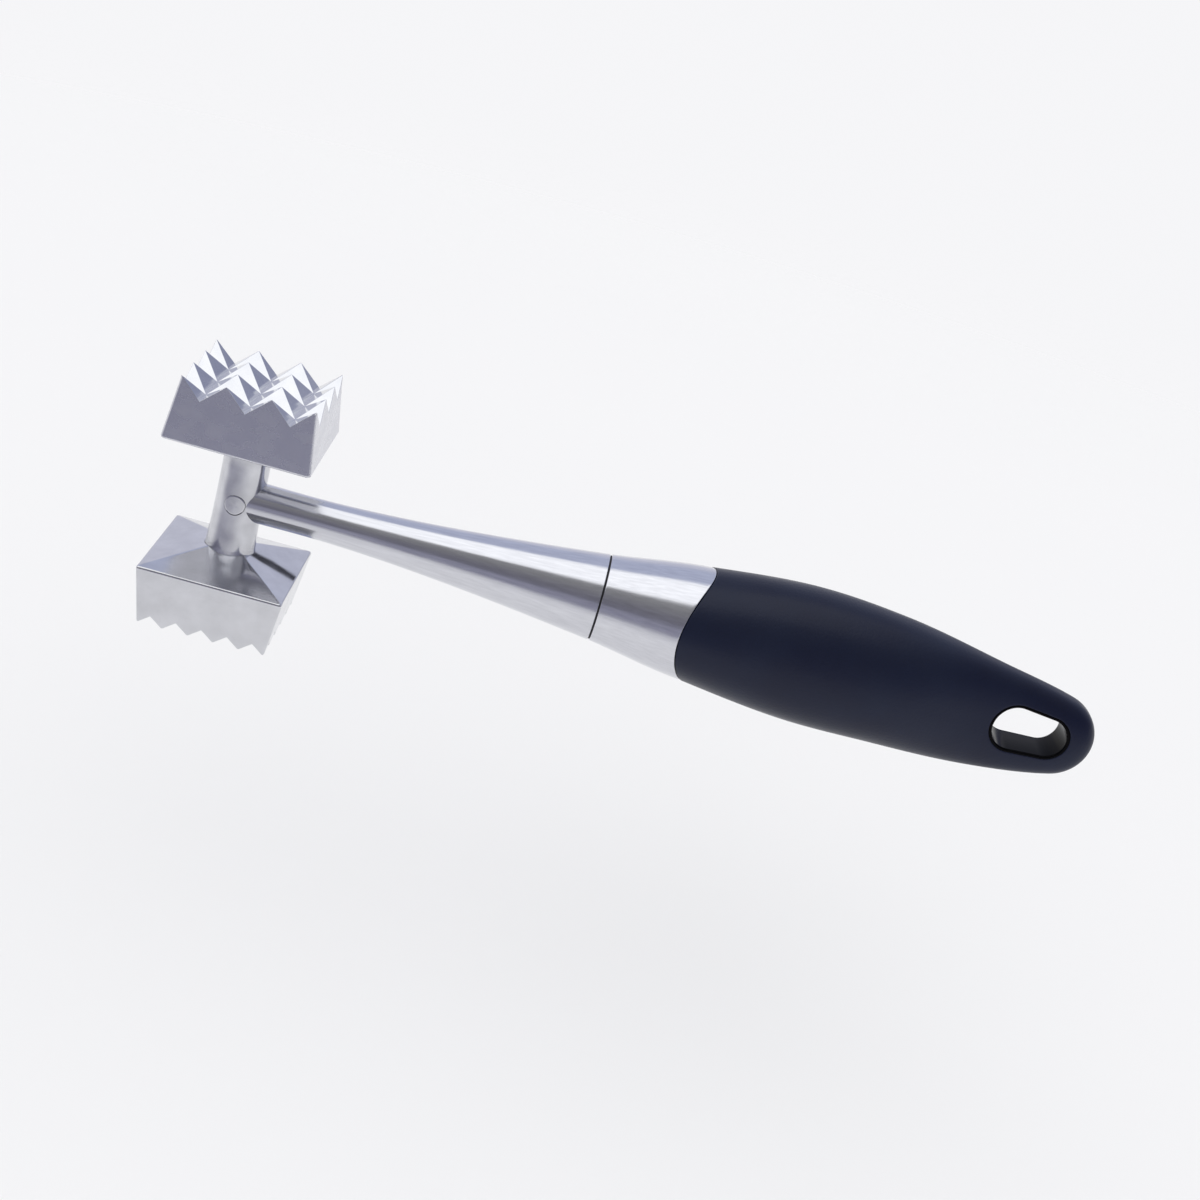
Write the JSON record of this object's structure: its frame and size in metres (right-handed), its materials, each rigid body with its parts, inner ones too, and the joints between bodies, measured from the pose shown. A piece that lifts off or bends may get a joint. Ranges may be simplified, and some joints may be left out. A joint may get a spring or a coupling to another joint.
{
  "type": "meat mallet",
  "caption": "Two-faced meat mallet: coarse and fine toothed cast blocks on a round post, flared satin metal shaft, soft black grip and a lined hang slot.",
  "frame": {"origin": "middle of the whole mallet's bounding box, on the shaft's axis", "axes": "+X from the head to the butt along the handle, +Z the striking direction of the coarse face, +Y across the handle"},
  "size_m": [0.235, 0.0354, 0.0636],
  "materials": {
    "cast_aluminium": "polished casting with faint mottling",
    "satin_metal": "satin, brushed along the handle",
    "plain_steel": "plain turned steel",
    "seal_rubber": "matt black",
    "core_plastic": "black moulded",
    "soft_grip": "black soft-touch, fine grain",
    "liner_plastic": "black, glossy"
  },
  "bodies": {
    "root": {"coarse_block": "cast_aluminium", "fine_block": "cast_aluminium", "head_post": "cast_aluminium", "head_pin": "plain_steel", "tie_rod": "plain_steel", "shaft_tube": "satin_metal", "seal_ring": "seal_rubber", "collar": "satin_metal", "handle_core": "core_plastic", "rod_washer": "plain_steel", "rod_nut": "plain_steel", "grip_sleeve": "soft_grip", "slot_liner": "liner_plastic"}
  },
  "joints": []
}
